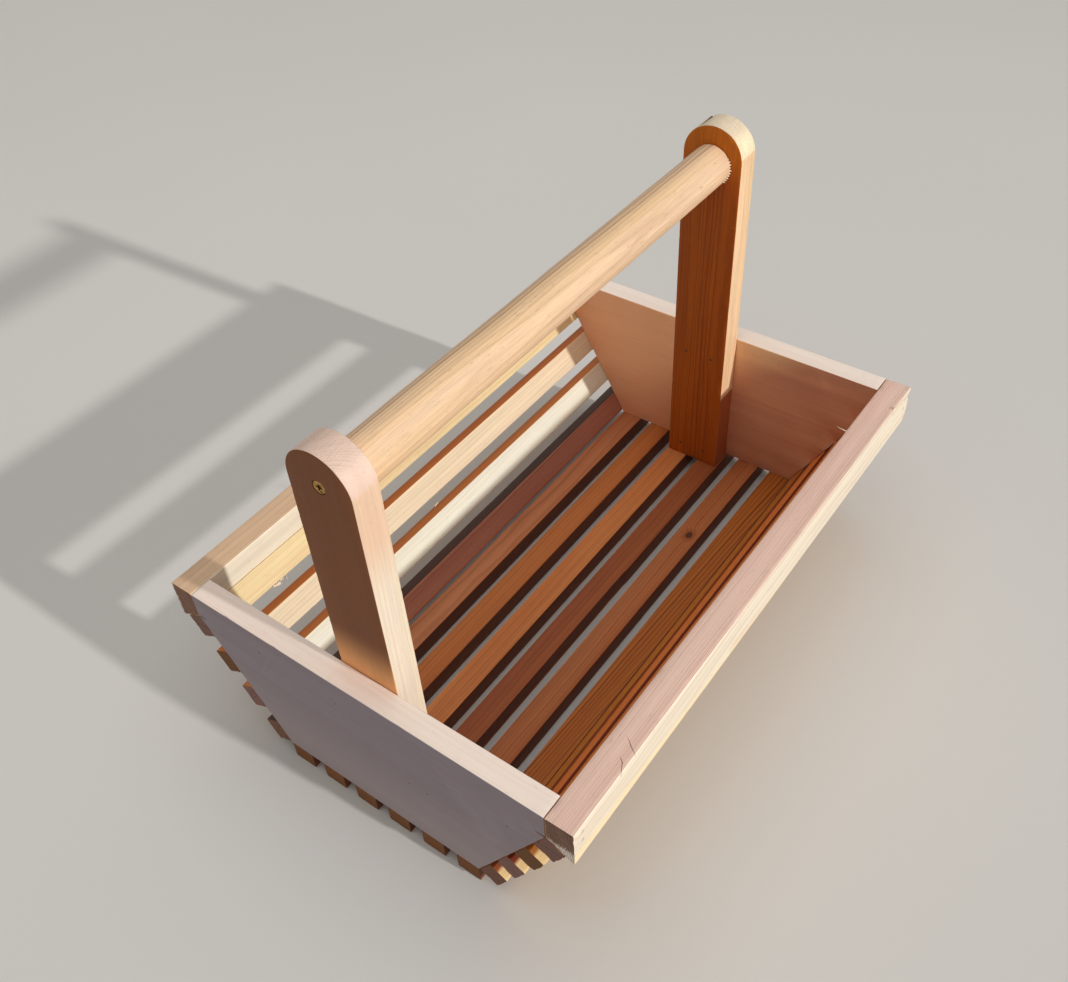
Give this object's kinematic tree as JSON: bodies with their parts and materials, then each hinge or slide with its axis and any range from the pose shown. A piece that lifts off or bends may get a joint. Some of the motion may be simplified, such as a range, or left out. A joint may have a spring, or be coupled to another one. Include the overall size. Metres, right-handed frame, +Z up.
{
  "type": "trug garden basket",
  "caption": "Long slatted wooden trug with sloping sides, flush rails, trapezoid end boards, round-topped uprights and a round carrying bar.",
  "frame": {"origin": "middle of the underside, on the surface that the floor slats rest on", "axes": "+X along the trug to its back end, +Y to its left side, +Z up"},
  "size_m": [0.457, 0.33, 0.3285],
  "materials": {
    "cedar_board": "planed bare western red cedar",
    "cedar_upright": "planed bare western red cedar",
    "cedar_bar": "planed bare western red cedar",
    "cedar_rail": "planed bare western red cedar",
    "cedar_side_slat": "planed bare western red cedar",
    "cedar_floor_slat": "planed bare western red cedar",
    "screw_brass": "yellow-plated screw head",
    "brad_steel": "dull steel brad, head flush with the wood"
  },
  "bodies": {
    "root": {"bar_screws": "screw_brass", "carry_bar": "cedar_bar", "end_board_back": "cedar_board", "end_board_front": "cedar_board", "floor_brads": "brad_steel", "floor_slat_1": "cedar_floor_slat", "floor_slat_2": "cedar_floor_slat", "floor_slat_3": "cedar_floor_slat", "floor_slat_4": "cedar_floor_slat", "floor_slat_5": "cedar_floor_slat", "floor_slat_6": "cedar_floor_slat", "rail_brads": "brad_steel", "rail_left": "cedar_rail", "rail_right": "cedar_rail", "side_brads_left": "brad_steel", "side_brads_right": "brad_steel", "side_slat_left_1": "cedar_side_slat", "side_slat_left_2": "cedar_side_slat", "side_slat_left_3": "cedar_side_slat", "side_slat_left_4": "cedar_side_slat", "side_slat_right_1": "cedar_side_slat", "side_slat_right_2": "cedar_side_slat", "side_slat_right_3": "cedar_side_slat", "side_slat_right_4": "cedar_side_slat", "upright_back": "cedar_upright", "upright_brads": "brad_steel", "upright_front": "cedar_upright"}
  },
  "joints": []
}
